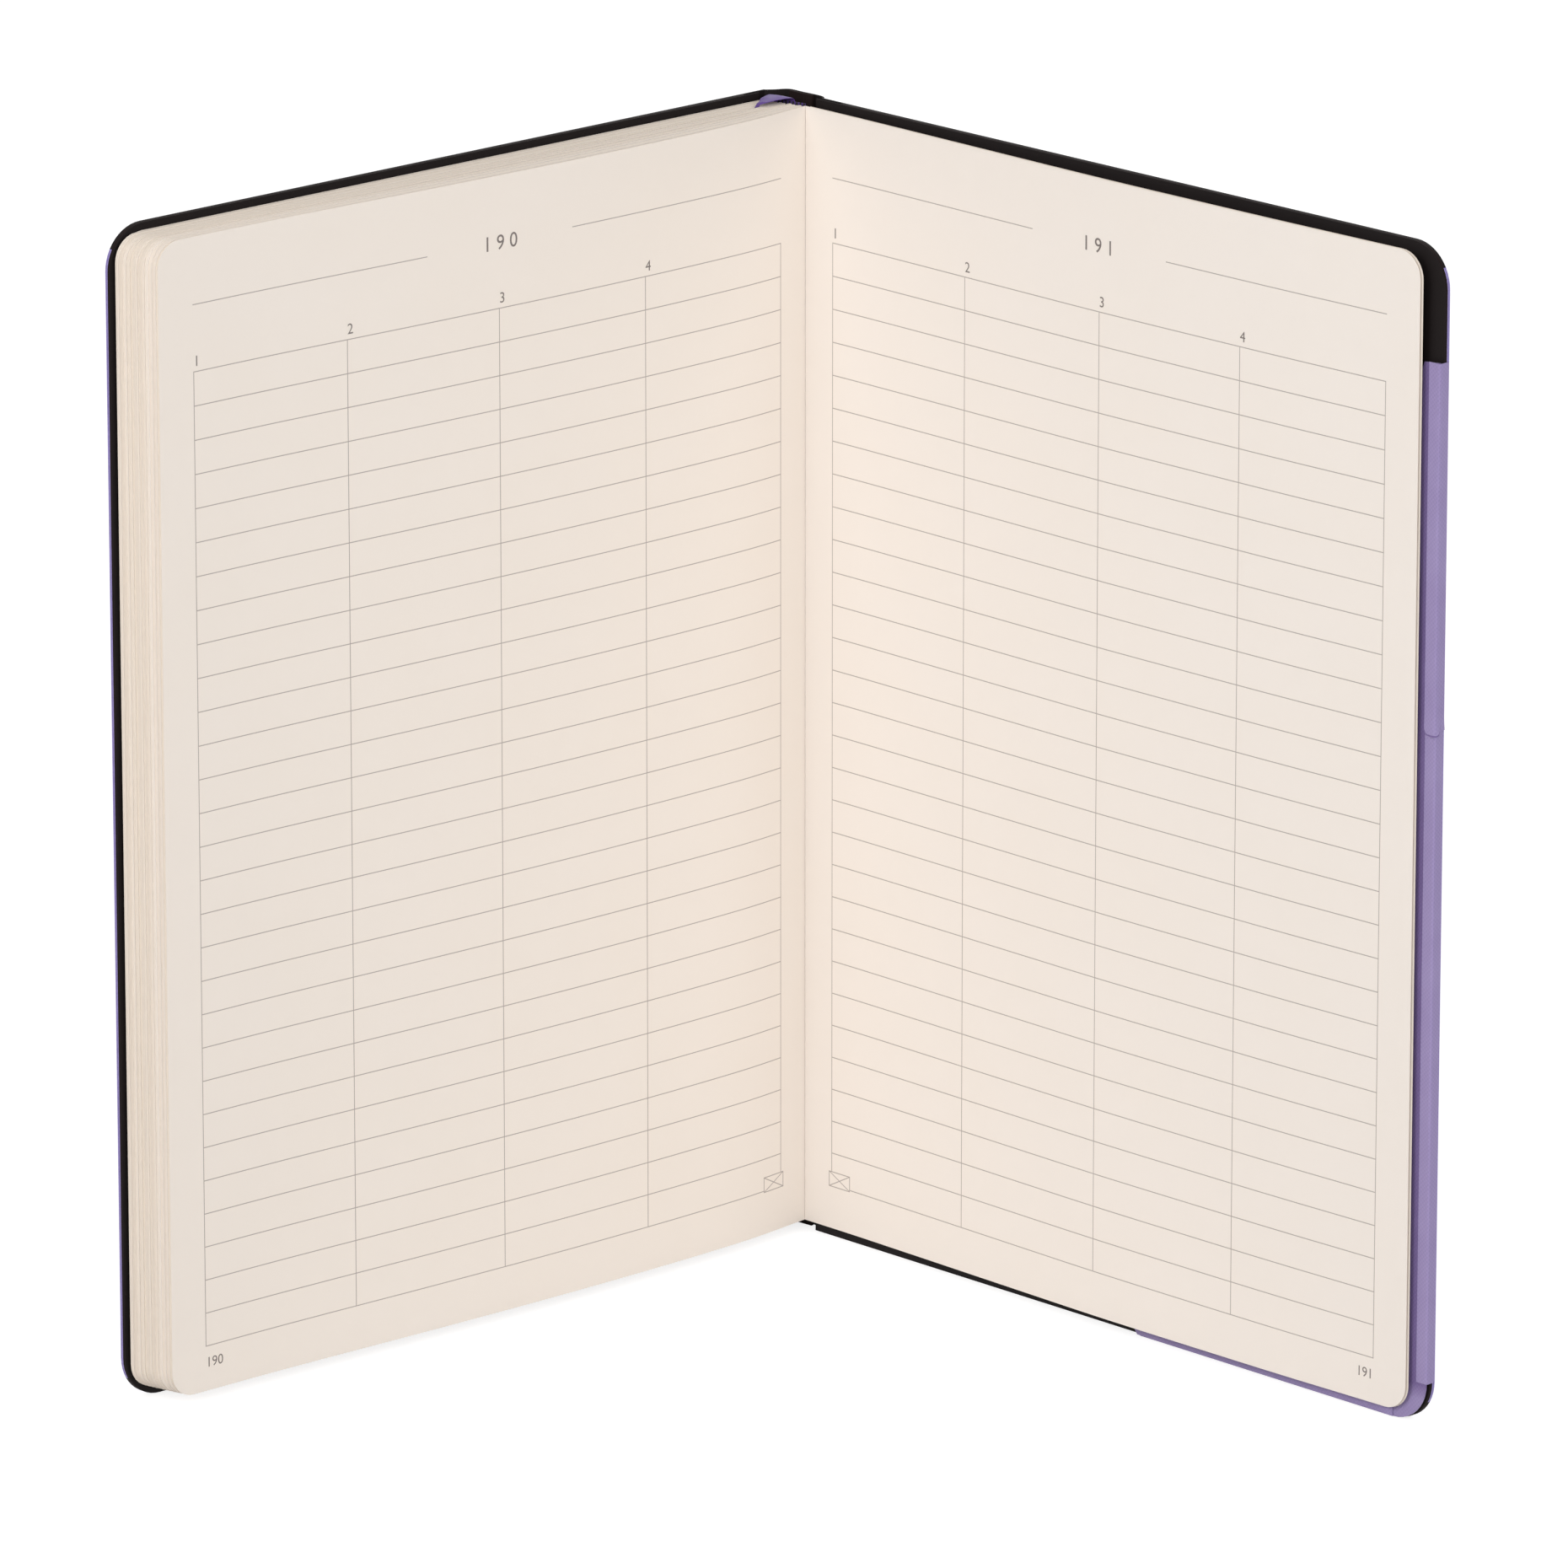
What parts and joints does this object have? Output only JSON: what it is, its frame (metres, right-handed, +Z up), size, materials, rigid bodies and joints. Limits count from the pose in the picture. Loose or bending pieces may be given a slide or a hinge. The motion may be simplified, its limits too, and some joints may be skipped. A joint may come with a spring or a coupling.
{
  "type": "lined notebook",
  "caption": "Soft-covered sewn notebook with ruled, numbered pages, ribbon bookmark and back pocket, standing open on its cover edges.",
  "frame": {"origin": "centre of the spine stiffener's foot face, on the standing plane", "axes": "+Z up along the spine, +X across the open covers to the right of a reader, +Y from the reader to the spine"},
  "size_m": [0.2648, 0.1363, 0.2439],
  "materials": {
    "ivory_paper": "uncoated ivory writing paper",
    "white_thread": "waxed sewing thread",
    "spine_cloth": "open-weave lining cloth",
    "band_cloth": "woven band",
    "purple_ribbon": "satin ribbon",
    "lilac_skin": "matte imitation leather",
    "black_board": "flexible black card",
    "black_lining": "black endpaper, matte",
    "lilac_pocket": "lilac cloth-faced paper"
  },
  "bodies": {
    "block": {"signature_01": "ivory_paper", "signature_02": "ivory_paper", "signature_03": "ivory_paper", "signature_04": "ivory_paper", "signature_05": "ivory_paper", "signature_06": "ivory_paper", "signature_07": "ivory_paper", "signature_08": "ivory_paper", "signature_09": "ivory_paper", "signature_10": "ivory_paper", "signature_11": "ivory_paper", "signature_12": "ivory_paper", "spine_lining": "spine_cloth", "sewing_thread_1": "white_thread", "sewing_thread_2": "white_thread", "sewing_thread_3": "white_thread", "sewing_thread_4": "white_thread", "sewing_thread_5": "white_thread", "head_band": "band_cloth", "tail_band": "band_cloth", "ribbon_bookmark": "purple_ribbon"},
    "spine": {"spine_skin": "lilac_skin", "spine_stiffener": "black_board"},
    "front_cover": {"front_cover_skin": "lilac_skin", "front_cover_board": "black_board", "front_cover_lining": "black_lining"},
    "front_leaf": {"front_flyleaf": "ivory_paper"},
    "back_cover": {"back_cover_skin": "lilac_skin", "back_cover_board": "black_board", "back_cover_lining": "black_lining", "pocket_panel": "lilac_pocket", "pocket_tape_lower": "lilac_pocket", "pocket_tape_upper": "lilac_pocket", "pocket_tape_foot": "lilac_pocket"},
    "back_leaf": {"back_flyleaf": "ivory_paper"},
    "right_leaf": {"leaf_191_192": "ivory_paper"},
    "left_leaf": {"leaf_189_190": "ivory_paper"}
  },
  "joints": [
    {"name": "front_cover_hinge", "type": "hinge", "parent": "block", "child": "front_cover", "pos_m": [-0.00781, 0.00269, 0.12195], "axis": [0, 0, 1], "range_deg": [-180, 0]},
    {"name": "front_flyleaf_turn", "type": "hinge", "parent": "block", "child": "front_leaf", "pos_m": [-0.00781, 0.00269, 0.12195], "axis": [0, 0, 1], "range_deg": [-177, 0]},
    {"name": "spine_swing", "type": "hinge", "parent": "block", "child": "spine", "pos_m": [-0.00781, 0.00269, 0.12195], "axis": [0, 0, 1], "range_deg": [0, 85]},
    {"name": "back_cover_hinge", "type": "hinge", "parent": "spine", "child": "back_cover", "pos_m": [0.00436, -0.0051, 0.12195], "axis": [0, 0, 1], "range_deg": [-81, 0]},
    {"name": "back_flyleaf_turn", "type": "hinge", "parent": "block", "child": "back_leaf", "pos_m": [0.00085, -0.00545, 0.12195], "axis": [0, 0, 1], "range_deg": [-81, 0]},
    {"name": "leaf_191_192_turn", "type": "hinge", "parent": "back_leaf", "child": "right_leaf", "pos_m": [0.00085, -0.00545, 0.12195], "axis": [0, 0, -1], "range_deg": [0, 79]},
    {"name": "leaf_189_190_turn", "type": "hinge", "parent": "block", "child": "left_leaf", "pos_m": [0.00085, -0.00545, 0.12195], "axis": [0, 0, 1], "range_deg": [0, 79]}
  ],
  "couplings": [
    {"joint": "front_flyleaf_turn", "follows": "front_cover_hinge", "ratio": 0.98},
    {"joint": "back_flyleaf_turn", "follows": "back_cover_hinge", "ratio": 1}
  ]
}
